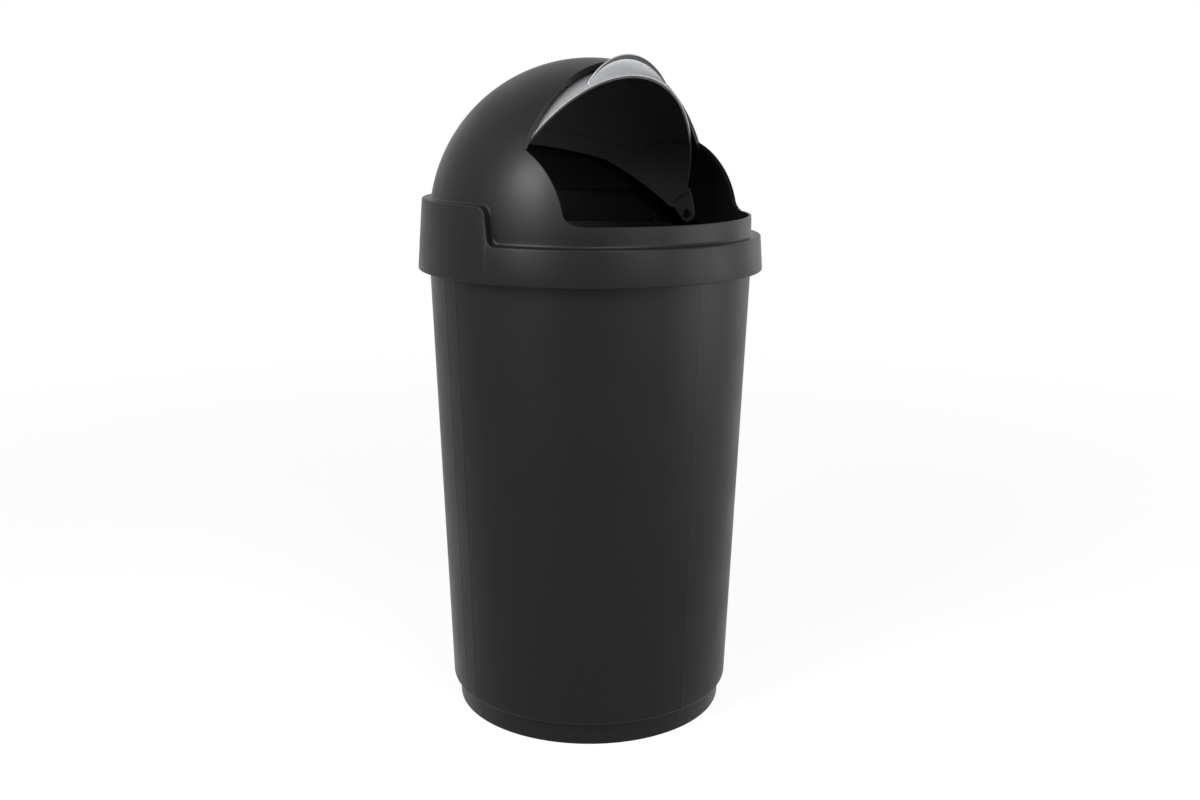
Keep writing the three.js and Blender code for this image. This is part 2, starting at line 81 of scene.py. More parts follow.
def skin(name, rings, wrap=True, closedRings=False):
    # quads between neighbouring rings of points; corners that fall together become one
    count = len(rings[0])
    corners = [[c / perMetre for c in point] for ring in rings for point in ring]
    faces = []
    for i in range(len(rings) if wrap else len(rings) - 1):
        here = i * count
        there = (i + 1) % len(rings) * count
        for j in range(count if closedRings else count - 1):
            k = (j + 1) % count
            faces.append((here + j, there + j, there + k, here + k))
    if not wrap:
        faces.append(tuple(range(count)))
        faces.append(tuple(range((len(rings) - 1) * count, len(rings) * count)))
    mesh = bpy.data.meshes.new(name)
    mesh.from_pydata(corners, [], faces)
    work = bmesh.new()
    work.from_mesh(mesh)
    bmesh.ops.remove_doubles(work, verts=work.verts, dist=meshCare["weld"])
    bmesh.ops.recalc_face_normals(work, faces=work.faces)
    if work.calc_volume(signed=True) < 0:
        bmesh.ops.reverse_faces(work, faces=work.faces)
    work.to_mesh(mesh)
    work.free()
    piece = bpy.data.objects.new(name, mesh)
    bpy.context.collection.objects.link(piece)
    return piece


def swept(name, profileAt, azimuths):
    # profiles of (radius, height) that change round Z; azimuth 0 is the front
    rings = []
    for azimuth in azimuths:
        a = math.radians(azimuth)
        rings.append([(r * math.sin(a), -r * math.cos(a), z) for r, z in profileAt(azimuth)])
    return skin(name, rings)


def turned(name, profile, azimuths):
    # one profile turned round Z
    return swept(name, lambda azimuth: profile, azimuths)


def evenly(steps):
    return [360 * i / steps for i in range(steps)]


def box(name, x, forward, height):
    # a box between two x values, two forward values and two heights
    low = [(x[0], -forward[0], height[0]), (x[1], -forward[0], height[0]),
           (x[1], -forward[1], height[0]), (x[0], -forward[1], height[0])]
    high = [(a, b, height[1]) for a, b, c in low]
    return skin(name, [low, high], wrap=False, closedRings=True)


def slab(name, outline, fromX, toX):
    # a (forward, height) outline pushed along X
    ends = [[(x, -f, z) for f, z in outline] for x in (fromX, toX)]
    return skin(name, ends, wrap=False, closedRings=True)


def barX(name, radius, fromX, toX, centre, steps=64):
    # a round bar along X through a (forward, height) centre
    return slab(name, arc(centre[0], centre[1], radius, 0, 360, steps)[:-1], fromX, toX)


def combine(piece, tool, how):
    # a boolean step, applied at once; the tool is used up
    step = piece.modifiers.new(how.title(), "BOOLEAN")
    step.operation = how
    step.solver = "MANIFOLD"
    step.object = tool
    bpy.context.view_layer.update()
    result = piece.evaluated_get(bpy.context.evaluated_depsgraph_get())
    mesh = bpy.data.meshes.new_from_object(result)
    piece.modifiers.clear()
    piece.data = mesh
    bpy.data.objects.remove(tool)
    return piece


def dress(piece, node, body, material):
    # stands the finished piece in for its CAD node
    mesh = piece.data
    work = bmesh.new()
    work.from_mesh(mesh)
    bmesh.ops.remove_doubles(work, verts=work.verts, dist=meshCare["seamWeld"])
    bmesh.ops.dissolve_degenerate(work, edges=work.edges, dist=meshCare["sliver"])
    work.to_mesh(mesh)
    work.free()
    mesh.shade_smooth()
    mesh.set_sharp_from_angle(angle=math.radians(meshCare["sharp"]))
    mesh.materials.clear()
    mesh.materials.append(material)
    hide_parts(node)
    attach(piece, body)
    print(piece.name, "built:", len(mesh.polygons), "faces")


# --- camera

cameraView = {
    "place": (-1.1140, -0.9348, 0.6937),  # m
    "lens": 38.17,                        # mm
    "sensor": 36,                         # mm
    "heading": -50.458,                   # degrees from looking along +Y
    "tilt": 12.985,                       # degrees down
    "roll": 0.275,
}

cameraData = bpy.data.cameras.new("camera")
cameraData.lens = cameraView["lens"]
cameraData.sensor_width = cameraView["sensor"]
camera = bpy.data.objects.new("camera", cameraData)
turn = Matrix.Rotation(math.radians(cameraView["heading"]), 4, "Z")
lean = Matrix.Rotation(math.radians(90 - cameraView["tilt"]), 4, "X")
twist = Matrix.Rotation(math.radians(cameraView["roll"]), 4, "Z")
camera.matrix_world = Matrix.Translation(cameraView["place"]) @ turn @ lean @ twist
bpy.context.collection.objects.link(camera)
bpy.context.scene.camera = camera
bpy.context.scene.view_settings.view_transform = "Standard"


# --- materials

blackPlastic = {
    "colour": "#0e0e0f",      # carbon black in polypropylene
    "ior": 1.49,              # polypropylene
    "specular": 0.12,         # the grain throws back less than a polished face would
    "roughness": (0.36, 0.44),
    "patch": 70,              # mm, slow changes in the gloss from the melt's flow
    "patchDetail": 2.0,
    "patchRoughness": 0.5,
    "patchSpan": (0.3, 0.7),  # noise values over which the gloss changes
    "grain": 1.1,             # mm; a real spark-eroded grain is about 0.2, drawn coarser to show
    "grainDetail": 3.0,
    "grainRoughness": 0.6,
    "grainDepth": 0.012,      # mm
    "grainStrength": 0.35,
    "edge": 0.8,              # mm, rounding that the mould leaves on each edge
    "edgeSamples": 6,
}

# the flap is drawn in a lighter, rougher black than the tub and lid
flapPlastic = {
    **blackPlastic,
    "colour": "#2b2b2c",
    "specular": 0.25,
    "roughness": (0.44, 0.52),
    "edge": 0.5,
}

silverLacquer = {
    "colour": "#98999b",      # aluminium flake in a clear lacquer
    "flakeColour": "#888a8c",
    "metallic": 0.8,
    "roughness": 0.42,
    "flake": 0.8,             # mm; real flake is about 0.03, drawn coarser to show
    "flakeDepth": 0.02,       # mm
    "flakeStrength": 0.12,
    "coat": 0.25,
    "coatRoughness": 0.2,
    "edge": 0.6,
    "edgeSamples": 6,
}

# on the underside of the grip's turned edge the silver is drawn darker and less metallic: painted
# shade, where the lip faces away from the light
lipShadeLacquer = {
    **silverLacquer,
    "colour": "#3e3f41",
    "flakeColour": "#333436",
    "metallic": 0.5,
    "coat": 0.0,
}


def newTree(name):
    # an empty node material, and the object's own coordinates in it
    material = bpy.data.materials.new(name)
    material.use_nodes = True
    material.node_tree.nodes.clear()
    place = addNode(material.node_tree, "ShaderNodeTexCoord")
    return material, material.node_tree, place.outputs["Object"]


def mouldedPolypropylene(name, finish):
    # injection moulded polypropylene with a spark-eroded grain: deep black, soft satin sheen
    material, tree, place = newTree(name)
    patches = addNode(tree, "ShaderNodeTexNoise", None,
                      {"Scale": perMetre / finish["patch"], "Detail": finish["patchDetail"],
                       "Roughness": finish["patchRoughness"]},
                      {"Vector": place})
    gloss = addNode(tree, "ShaderNodeMapRange", None,
                    {"From Min": finish["patchSpan"][0], "From Max": finish["patchSpan"][1],
                     "To Min": finish["roughness"][0], "To Max": finish["roughness"][1]},
                    {"Value": patches.outputs["Fac"]})
    grain = addNode(tree, "ShaderNodeTexNoise", None,
                    {"Scale": perMetre / finish["grain"], "Detail": finish["grainDetail"],
                     "Roughness": finish["grainRoughness"]},
                    {"Vector": place})
    edges = addNode(tree, "ShaderNodeBevel", {"samples": finish["edgeSamples"]},
                    {"Radius": finish["edge"] / perMetre})
    bump = addNode(tree, "ShaderNodeBump", None,
                   {"Strength": finish["grainStrength"], "Distance": finish["grainDepth"] / perMetre},
                   {"Height": grain.outputs["Fac"], "Normal": edges.outputs["Normal"]})
    body = addNode(tree, "ShaderNodeBsdfPrincipled", None,
                   {"Base Color": toLinear(finish["colour"]), "IOR": finish["ior"],
                    "Specular IOR Level": finish["specular"]},
                   {"Roughness": gloss.outputs["Result"], "Normal": bump.outputs["Normal"]})
    addNode(tree, "ShaderNodeOutputMaterial", None, None, {"Surface": body.outputs["BSDF"]})
    return material


def silverLacquerOnPlastic(name, finish):
    # aluminium flake lacquer sprayed on moulded plastic: light silver with a soft metal sheen
    material, tree, place = newTree(name)
    flakes = addNode(tree, "ShaderNodeTexVoronoi", {"feature": "F1"},
                     {"Scale": perMetre / finish["flake"]}, {"Vector": place})
    # the mix node's two colours are its sockets 6 and 7, and its colour output is socket 2
    tint = addNode(tree, "ShaderNodeMix", {"data_type": "RGBA"},
                   {6: toLinear(finish["colour"]), 7: toLinear(finish["flakeColour"])},
                   {"Factor": flakes.outputs["Color"]})
    edges = addNode(tree, "ShaderNodeBevel", {"samples": finish["edgeSamples"]},
                    {"Radius": finish["edge"] / perMetre})
    bump = addNode(tree, "ShaderNodeBump", None,
                   {"Strength": finish["flakeStrength"], "Distance": finish["flakeDepth"] / perMetre},
                   {"Height": flakes.outputs["Distance"], "Normal": edges.outputs["Normal"]})
    body = addNode(tree, "ShaderNodeBsdfPrincipled", None,
                   {"Metallic": finish["metallic"], "Roughness": finish["roughness"],
                    "Coat Weight": finish["coat"], "Coat Roughness": finish["coatRoughness"]},
                   {"Base Color": tint.outputs[2], "Normal": bump.outputs["Normal"]})
    addNode(tree, "ShaderNodeOutputMaterial", None, None, {"Surface": body.outputs["BSDF"]})
    return material


tubMaterial = mouldedPolypropylene("blackPolypropyleneMouldedTub", blackPlastic)
lidMaterial = mouldedPolypropylene("blackPolypropyleneMouldedLid", blackPlastic)
flapMaterial = mouldedPolypropylene("blackPolypropyleneMouldedFlap", flapPlastic)
faceMaterial = silverLacquerOnPlastic("silverFlakeLacquerOnMouldedAbs", silverLacquer)
# a darker, less metallic silver: painted shade for the underside of the grip's lip
lipShadeMaterial = silverLacquerOnPlastic("silverLacquerPaintedShadeOnGripLip", lipShadeLacquer)
print("materials made")


# --- tub

tub = {
    "wallFoot": 164.5,        # outside radius of the wall just above the step
    "draft": 2.05,            # degrees the wall leans out
    "height": 551.5,
    "wall": 2.6,
    "footHeight": 26,
    "footRadius": 156.6,
    "footLand": 4.4,          # flat ring that stands on the floor
    "footEdge": 1.0,
    "floorLift": 5,
    "stepFillet": 2.2,
    "stepRound": 3.4,
    "floorFillet": 4,
    "rimReach": 5.6,
    "rimDrop": 9,
    "rimRound": 1.2,
    "ribs": 8,                # under the floor
    "ribHeight": 3.5,
    "ribInner": 22,
    "mouldLines": (-10.5, -102.5, -110, 77.5),  # azimuths of the faint lines up the wall and foot
    "mouldLine": 0.12,        # how far they stand out
    "lineReach": 0.3,         # degrees to each side of a line over which it falls off
    "lineClear": 0.5,         # degrees round a line that are kept free of other rings
    "lineStart": 4,           # points of the step's rounding that lie below the lines
    "gateRadius": 4,          # stub of the sprue under the floor
    "gateSpread": 1,          # its root is wider by this much
    "gateSink": 1,            # its root lies this far under the floor's top
    "gateSteps": 32,
    "landSteps": 4,           # facets of the foot's edge
    "rimSteps": 5,            # of the rim's roundings
    "filletSteps": (6, 5),    # of the step's fillet, outside and inside
    "roundSteps": (7, 6),     # of the step's rounding, outside and inside
    "floorSteps": 6,          # of the floor's fillet
    "wallRows": 40,
    "steps": 240,
}


def buildTub(size):
    lean = math.tan(math.radians(size["draft"]))
    wall, height = size["wall"], size["height"]
    footHeight, footRadius, footEdge = size["footHeight"], size["footRadius"], size["footEdge"]
    stepFillet, stepRound = size["stepFillet"], size["stepRound"]
    floorLift, floorFillet = size["floorLift"], size["floorFillet"]
    rimRound, gateRadius = size["rimRound"], size["gateRadius"]
    filletOuter, filletInner = size["filletSteps"]
    roundOuter, roundInner = size["roundSteps"]
    footTop = footRadius + footHeight * lean
    wallTop = size["wallFoot"] + (height - footHeight) * lean
    rimOuter = wallTop + size["rimReach"]
    floorTop = floorLift + wall
    shelf = footHeight + wall
    landOuter = footRadius - footEdge
    landInner = landOuter - size["footLand"]
    land = [
        (0, floorLift),
        (landInner - footEdge, floorLift),
        (landInner, 0),
        *arc(landOuter, footEdge, footEdge, -90, 0, size["landSteps"]),
    ]
    foot = [
        *land,
        *arc(footTop + stepFillet, footHeight - stepFillet, stepFillet, 180, 90, filletOuter),
    ]
    lowRound = arc(size["wallFoot"] - stepRound, footHeight + stepRound, stepRound, -90, 0, roundOuter)
    rise = size["wallRows"]
    top = height - wall
    wallUp = [(lowRound[-1][0] + (wallTop - wall * lean - lowRound[-1][0]) * i / rise,
               lowRound[-1][1] + (top - lowRound[-1][1]) * i / rise) for i in range(1, rise + 1)]
    outside = [
        *lowRound,
        *wallUp,
        (rimOuter - wall, top),
        (rimOuter - wall, height - size["rimDrop"]),
        (rimOuter, height - size["rimDrop"]),
        *arc(rimOuter - rimRound, height - rimRound, rimRound, 0, 90, size["rimSteps"]),
    ]
    inside = [
        *arc(wallTop - wall + rimRound, height - rimRound, rimRound, 90, 180, size["rimSteps"]),
        *arc(size["wallFoot"] - stepRound - wall, shelf + stepRound, stepRound, 0, -90, roundInner),
        *arc(footTop - wall + stepFillet, shelf - stepFillet, stepFillet, 90, 180, filletInner),
        *arc(footRadius - wall - floorFillet, floorTop + floorFillet, floorFillet,
             0, -90, size["floorSteps"]),
        (0, floorTop),
    ]
    profile = [*foot, *outside, *inside]

    # the lines of the mould stand out on the foot's wall, and from the step's rounding up
    footWall = (len(land) - 1, len(land))
    wallFrom = len(foot) + size["lineStart"]
    wallTo = len(foot) + len(lowRound) + rise
    raised = {*footWall, *range(wallFrom, wallTo)}
    lines = [line % 360 for line in size["mouldLines"]]
    clear, reach = size["lineClear"], size["lineReach"]
    azimuths = [a for a in evenly(size["steps"]) if min(abs(a - line) for line in lines) > clear]
    azimuths += [line + offset for line in lines for offset in (-reach, 0, reach)]
    rings = []
    for azimuth in sorted(azimuths):
        a = math.radians(azimuth)
        out = size["mouldLine"] if azimuth in lines else 0
        ring = []
        for j, (r, z) in enumerate(profile):
            r = r + out if j in raised else r
            ring.append((r * math.sin(a), -r * math.cos(a), z))
        rings.append(ring)
    piece = skin("tubShell", rings)

    # ribs and the stub of the sprue under the floor
    low = floorLift - size["ribHeight"]
    for i in range(size["ribs"]):
        rib = box("rib", (size["ribInner"], landInner), (-wall / 2, wall / 2),
                  (low, floorLift + wall / 2))
        rib.data.transform(Matrix.Rotation(2 * math.pi * (i + 0.5) / size["ribs"], 4, "Z"))
        piece = combine(piece, rib, "UNION")
    root = floorTop - size["gateSink"]
    stub = [(0, low), (gateRadius, low), (gateRadius + size["gateSpread"], root), (0, root)]
    gate = turned("gate", stub, evenly(size["gateSteps"]))
    return combine(piece, gate, "UNION")


tubPiece = buildTub(tub)
dress(tubPiece, "tub", "tub", tubMaterial)


# --- lid

lid = {
    "wall": 2.8,
    "gap": 0.3,               # between the tub's rim and the ledge that rests on it
    "domeRadius": 181.5,
    "domeSquat": 10.5,        # the dome's centre is this far above the low ledge
    "collarRadius": 195,
    "collarDraft": 4.03,
    "collarDrop": 38.3,
    "collarRise": 40,         # the ledge is this much higher round the back
    "ledgeRound": 1.5,
    "ledgeFillet": 3.5,
    "collarEdge": 1.0,
    "riserAzimuth": 83,
    "riserLean": 10,
    "riserFillet": 8,
    "riserRound": 13,
    "gussets": 5,
    "gussetWall": 2,
    "gussetSpread": 152,
    "gussetHeight": 10,
    "gussetSink": 2,          # how far a rib's inner edge lies in the dome's wall
    "mouthForward": 39.5,     # upright plane of the opening's upper edge
    "mouthHalfWidth": 154,
    "mouthCorner": 11,
    "mouthPast": (400, 300),  # how far forward and up the opening's cutter runs
    "frontRim": 11,
    "lipDepth": 5.6,
    "lipThickness": 2.8,
    "roomDrop": 1,            # how far the cutter for the inside runs below the collar
    "steps": 216,
    "domeSteps": 64,
    "ballSteps": 120,
    "riserSteps": 12,
    "edgeSteps": 4,           # facets of the collar's lower edge
    "roundSteps": 5,          # of the ledge's rounding
    "filletSteps": 8,         # of the dome's foot fillet
    "cornerSteps": 12,        # of the opening's corners
}

pivot = {
    "forward": 10.5,
    "up": 0.8,                # above the dome's centre
    "spigotRadius": 5,
    "clearance": 0.4,
    "spigotShow": 0.6,
    "shoulderRadius": 8,
    "earRadius": 10.3,
    "earWall": 2.5,
    "earInset": 172.4,
    "earFlare": 15.4,
    "earDirection": 49.6,     # degrees above the front
    "earReach": 31,
    "earKnee": 20,
    "kneeSpan": (1, 3),       # the flare begins over this distance
    "kneeDrop": (0.2, 0.1),   # and this much, inside and outside
    "earSink": 0.6,           # the ear's end lies this much deeper than the flap's wall
    "tipRadius": 23,
    "earPast": 400,           # how far the ear's cutter runs out sideways
    "barPast": 500,           # the same for the round ones
    "earSteps": 96,
    "earArcSteps": 40,
    "tipSteps": 128,
}

lowLedge = tub["height"] + lid["gap"] + lid["wall"]
domeCentre = lowLedge + lid["domeSquat"]
collarBottom = lowLedge - lid["collarDrop"]
rimTop = domeCentre + lid["frontRim"]
pivotHeight = domeCentre + pivot["up"]


def collarRadiusAt(height):
    lean = math.tan(math.radians(lid["collarDraft"]))
    return lid["collarRadius"] - (height - collarBottom) * lean


def ledgeStep(inset):
    # the S-shaped step of the ledge, seen flat; inset moves it into the wall
    lean = math.radians(lid["riserLean"])
    low = lowLedge - inset
    high = lowLedge + lid["collarRise"] - inset
    fillet = lid["riserFillet"] + inset
    rounding = lid["riserRound"] - inset
    foot = inset / math.cos(lean) - inset * math.tan(lean)
    filletX = foot + fillet * (1 - math.sin(lean)) * math.tan(lean)
    filletMiddle = filletX - fillet * math.cos(lean)
    roundX = foot + (high - low - rounding * (1 - math.sin(lean))) * math.tan(lean)
    roundMiddle = roundX + rounding * math.cos(lean)

    def heightAt(x):
        if x <= filletMiddle:
            return low
        if x <= filletX:
            return low + fillet - math.sqrt(fillet ** 2 - (x - filletMiddle) ** 2)
        if x <= roundX:
            return low + (x - foot) / math.tan(lean)
        if x < roundMiddle:
            return high - rounding + math.sqrt(rounding ** 2 - (x - roundMiddle) ** 2)
        return high

    steps = lid["riserSteps"]
    eased = [math.sin(math.pi / 2 * i / steps) for i in range(steps + 1)]
    stops = [filletMiddle + (filletX - filletMiddle) * s for s in eased]
    stops += reversed([roundMiddle - (roundMiddle - roundX) * s for s in eased])
    return heightAt, stops


def lidAzimuths(stops):
    perDegree = math.radians(1) * collarRadiusAt(lowLedge)
    near = [lid["riserAzimuth"] + x / perDegree for x in stops]
    spacing = 360 / lid["steps"]
    half = [spacing * i for i in range(lid["steps"] // 2 + 1)]
    half = [a for a in half if not near[0] - spacing / 2 < a < near[-1] + spacing / 2]
    right = sorted(half + near)
    # the rings at the front and the back aren't repeated
    left = [360 - a for a in reversed(right) if 0 < a < 179.99]
    return right + left


def ledgeAt(heightAt, azimuth):
    perDegree = math.radians(1) * collarRadiusAt(lowLedge)
    return heightAt((min(azimuth, 360 - azimuth) - lid["riserAzimuth"]) * perDegree)


def domeProfile(radius, fromHeight, steps):
    # upright below the dome's centre and round above it
    rise = fromHeight - domeCentre
    start = rise / radius if rise < 0 else math.asin(rise / radius)
    points = []
    for i in range(steps):
        a = start + (math.pi / 2 - start) * i / steps
        points.append((radius, domeCentre + a * radius) if a < 0 else
                      (radius * math.cos(a), domeCentre + radius * math.sin(a)))
    return points + [(0, domeCentre + radius)]


def domeBall(name, radius):
    steps = lid["ballSteps"]
    profile = arc(0, domeCentre, radius, -90, 90, steps)
    profile = [(0 if i in (0, steps) else r, z) for i, (r, z) in enumerate(profile)]
    return turned(name, profile, evenly(lid["steps"]))


def lidRoom(name, depth):
    # the room under the lid, up to a depth of the wall
    heightAt, stops = ledgeStep(depth)
    below = collarBottom - lid["roomDrop"]

    def profileAt(azimuth):
        ledge = ledgeAt(heightAt, azimuth)
        return [
            (0, below),
            (collarRadiusAt(below) - depth, below),
            (collarRadiusAt(ledge) - depth, ledge),
            *domeProfile(lid["domeRadius"] - depth, ledge, lid["domeSteps"]),
        ]

    return swept(name, profileAt, lidAzimuths(stops))


def buildLid():
    wall = lid["wall"]
    heightAt, stops = ledgeStep(0)
    edge, rounding, fillet = lid["collarEdge"], lid["ledgeRound"], lid["ledgeFillet"]

    def outside(azimuth):
        ledge = ledgeAt(heightAt, azimuth)
        top = collarRadiusAt(ledge)
        dome = domeProfile(lid["domeRadius"], ledge + fillet, lid["domeSteps"])
        return [
            (0, collarBottom),
            *arc(lid["collarRadius"] - edge, collarBottom + edge, edge, -90, 0, lid["edgeSteps"]),
            *arc(top - rounding, ledge - rounding, rounding, 0, 90, lid["roundSteps"]),
            *arc(dome[0][0] + fillet, ledge + fillet, fillet, 270, 180, lid["filletSteps"])[:-1],
            *dome,
        ]

    piece = swept("lidShell", outside, lidAzimuths(stops))
    piece = combine(piece, lidRoom("hollow", wall), "DIFFERENCE")

    # return along the opening's upper edge
    lip = domeBall("lip", lid["domeRadius"] - wall / 2)
    lip = combine(lip, domeBall("lipHollow", lid["domeRadius"] - lid["lipDepth"]), "DIFFERENCE")
    half, front, thick = lid["mouthHalfWidth"], lid["mouthForward"], lid["lipThickness"]
    pastFront, pastTop = lid["mouthPast"]
    lipRoom = box("lipRoom", (-half, half), (front - thick, front + thick),
                  (rimTop, domeCentre + pastTop))
    piece = combine(piece, combine(lip, lipRoom, "INTERSECT"), "UNION")

    corner, steps = lid["mouthCorner"], lid["cornerSteps"]
    mouth = [
        (-half, domeCentre + pastTop),
        *arc(-half + corner, rimTop + corner, corner, 180, 270, steps),
        *arc(half - corner, rimTop + corner, corner, 270, 360, steps),
        (half, domeCentre + pastTop),
    ]
    ends = [[(x, -f, z) for x, z in mouth] for f in (front, pastFront)]
    cutter = skin("mouth", ends, wrap=False, closedRings=True)
    piece = combine(piece, cutter, "DIFFERENCE")

    # locating ribs in the high collar, resting over the tub's rim
    inner = lid["domeRadius"] - wall + lid["gussetSink"]
    outer = collarRadiusAt(lowLedge) - wall / 2
    low = lowLedge - wall
    for i in range(lid["gussets"]):
        azimuth = 180 + lid["gussetSpread"] * (i / (lid["gussets"] - 1) - 0.5)
        thick = lid["gussetWall"] / 2
        rib = box("gusset", (-thick, thick), (inner, outer), (low, low + lid["gussetHeight"]))
        rib.data.transform(Matrix.Rotation(math.radians(azimuth), 4, "Z"))
        piece = combine(piece, rib, "UNION")

    # spigots and their shoulders inside the cheeks, carried out to the wall behind them
    centre = (pivot["forward"], pivotHeight)
    shoulderX = pivot["earInset"] + pivot["earWall"] + lid["gap"]
    for side in (-1, 1):
        near, far = sorted((side * shoulderX, side * lid["collarRadius"]))
        shoulder = barX("shoulder", pivot["shoulderRadius"], near, far, centre)
        shoulder = combine(shoulder, lidRoom("midWall", wall / 2), "INTERSECT")
        piece = combine(piece, shoulder, "UNION")
        tip = pivot["earInset"] - pivot["spigotShow"]
        near, far = sorted((side * tip, side * (shoulderX + wall)))
        spigot = barX("spigot", pivot["spigotRadius"], near, far, centre)
        piece = combine(piece, spigot, "UNION")
    return piece


lidPiece = buildLid()
dress(lidPiece, "lid", "lid", lidMaterial)


# --- flap, drawn closed and then turned open

flap = {
    "radius": 174.8,
    "forward": 5.5,           # middle of its sphere
    "up": -1.8,
    "clearance": 0.6,         # over the front rim when closed
    "wall": 2.5,
    "tail": 35.6,             # upright plane of the closed flap's upper edge
    "tailKnee": 112,
    "tailLow": (8.5, 27),
    "swing": 68.4,
    "gap": 0.3,               # between the face and the flap
    "faceWall": 1.4,
    "faceBack": 61,
    "faceHalfWidth": 141,
    "coreWall": 2.0,
    "coreLap": 2,
    "roomDrop": 5,            # how far the face's room runs below the flap's edge
    "past": 400,              # how far cutters run out forward, up and sideways
    "steps": 180,
}

grip = {
    "halfWidth": 68,
    "arc": 92,
    "tilt": 18.7,
    "stand": 2.5,
    "rise": 4.8,
    "wall": 2.2,
    "lip": 5,                 # width of the turned edge
    "lipTurn": 26,
    "back": 12,
    "hollow": (0.25, 0.8),    # where the underside bends, as shares of its run and rise
    "saddle": (0.25, 0.7),    # the same for the top
    "nose": (0.25, 0.6),      # the edge's rounding, as shares of the wall
    "noseTop": 0.4,
    "hollowSteps": 12,
    "saddleSteps": 10,
    "stations": 96,
    "endClear": 2,            # the grip's ends that keep the face's finish
    "shadeNear": 0.4,          # faces this close to the turned edge take its painted shade
}

flapHeight = domeCentre + flap["up"]
flapLow = rimTop + flap["clearance"]


def flapBall(name, radius):
    # poles at the sides
    steps = flap["steps"]
    half = steps // 2
    rings = []
    for i in range(steps):
        a = 2 * math.pi * i / steps
        ring = []
        for j in range(half + 1):
            b = math.pi * (j / half - 0.5)
            r = 0 if j in (0, half) else radius * math.cos(b)
            ring.append((radius * math.sin(b), -flap["forward"] + r * math.cos(a),
                         flapHeight + r * math.sin(a)))
        rings.append(ring)
    return skin(name, rings)


def flapSkin(name, outer, inner):
    return combine(flapBall(name, outer), flapBall("inner", inner), "DIFFERENCE")


def faceRoom(halfWidth, back, low):
    past = flap["past"]
    return box("faceRoom", (-halfWidth, halfWidth), (back, past), (low, domeCentre + past))


# turns the closed flap open about its spigots
pivotPlace = Matrix.Translation(Vector((0, -pivot["forward"], pivotHeight)) / perMetre)
swing = Matrix.Rotation(-math.radians(flap["swing"]), 4, "X")
openTurn = pivotPlace @ swing @ pivotPlace.inverted()


def ear(side):
    # flat tongue round the spigot that flares up into the flap's tip
    outerFace = pivot["earInset"] + pivot["earWall"]
    sink = flap["wall"] + pivot["earSink"]
    reach, knee, inset = pivot["earReach"], pivot["earKnee"], pivot["earInset"]
    near, far = pivot["kneeSpan"]
    innerDrop, outerDrop = pivot["kneeDrop"]
    profile = [
        (0, inset),
        (knee + near, inset),
        (knee + far, inset - innerDrop),
        (reach, inset - sink),
        (reach, outerFace - sink),
        (knee + near, outerFace - outerDrop),
        (knee - near, outerFace),
        (0, outerFace),
    ]
    cone = turned("ear", profile, evenly(pivot["earSteps"]))
    cone.data.transform(Matrix.Rotation(side * math.pi / 2, 4, "Y"))
    cone.data.transform(pivotPlace)
    forward, radius = pivot["forward"], pivot["earRadius"]
    flare = 90 + pivot["earFlare"]
    direction = pivot["earDirection"]
    run = math.sqrt(reach ** 2 - radius ** 2) + pivot["earWall"]

    def along(angle):
        # end of the tongue's straight side, whose normal is at this angle from the direction
        normal = math.radians(direction + angle)
        away = math.radians(direction + angle - math.copysign(90, angle))
        return (forward + radius * math.cos(normal) + run * math.cos(away),
                pivotHeight + radius * math.sin(normal) + run * math.sin(away))

    outline = [
        along(-flare),
        *arc(forward, pivotHeight, radius, direction - flare, direction - 360 + flare,
             pivot["earArcSteps"]),
        along(flare),
    ]
    past = pivot["earPast"]
    ends = (0, past) if side > 0 else (-past, 0)
    return combine(cone, slab("tongue", outline, *ends), "INTERSECT")


def buildFlapShell():
    radius, gap, low = flap["radius"], flap["gap"], flapLow
    halfWidth, back = flap["faceHalfWidth"], flap["faceBack"]
    border = flapSkin("flapShell", radius, radius - flap["wall"])
    roomLow = low - flap["roomDrop"]
    border = combine(border, faceRoom(halfWidth + gap, back - gap, roomLow), "DIFFERENCE")
    coreOuter = radius - flap["faceWall"] - gap
    core = flapSkin("core", coreOuter, coreOuter - flap["coreWall"])
    lap = flap["coreLap"]
    core = combine(core, faceRoom(halfWidth + lap, back - lap, roomLow), "INTERSECT")
    piece = combine(border, core, "UNION")
    tail, past = flap["tail"], flap["past"]
    tailFront, tailHeight = flap["tailLow"]
    room = slab("room", [
        (tailFront, low),
        (past, low),
        (past, domeCentre + past),
        (tail, domeCentre + past),
        (tail, domeCentre + flap["tailKnee"]),
        (tailFront, domeCentre + tailHeight),
    ], -past, past)
    centre = (pivot["forward"], pivotHeight)
    farPast = pivot["barPast"]
    tips = barX("tips", pivot["tipRadius"], -farPast, farPast, centre, pivot["tipSteps"])
    piece = combine(piece, combine(room, tips, "DIFFERENCE"), "INTERSECT")
    for side in (-1, 1):
        piece = combine(piece, ear(side), "UNION")
    hole = barX("hole", pivot["spigotRadius"] + pivot["clearance"], -farPast, farPast, centre)
    piece = combine(piece, hole, "DIFFERENCE")
    piece.data.transform(openTurn)
    return piece


def flapSurface(x, height, radius):
    # how far forward the flap's surface is
    return flap["forward"] + math.sqrt(radius ** 2 - x ** 2 - (height - flapHeight) ** 2)


def bend(start, control, end, steps):
    # a quadratic curve from start to end
    points = []
    for i in range(steps + 1):
        t = i / steps
        weights = ((1 - t) ** 2, 2 * t * (1 - t), t ** 2)
        pulls = list(zip(weights, (start, control, end)))
        points.append(tuple(sum(w * p[k] for w, p in pulls) for k in (0, 1)))
    return points


def between(start, end, shares):
    # a point at its own share of the way on each axis
    return tuple(a + share * (b - a) for a, b, share in zip(start, end, shares))


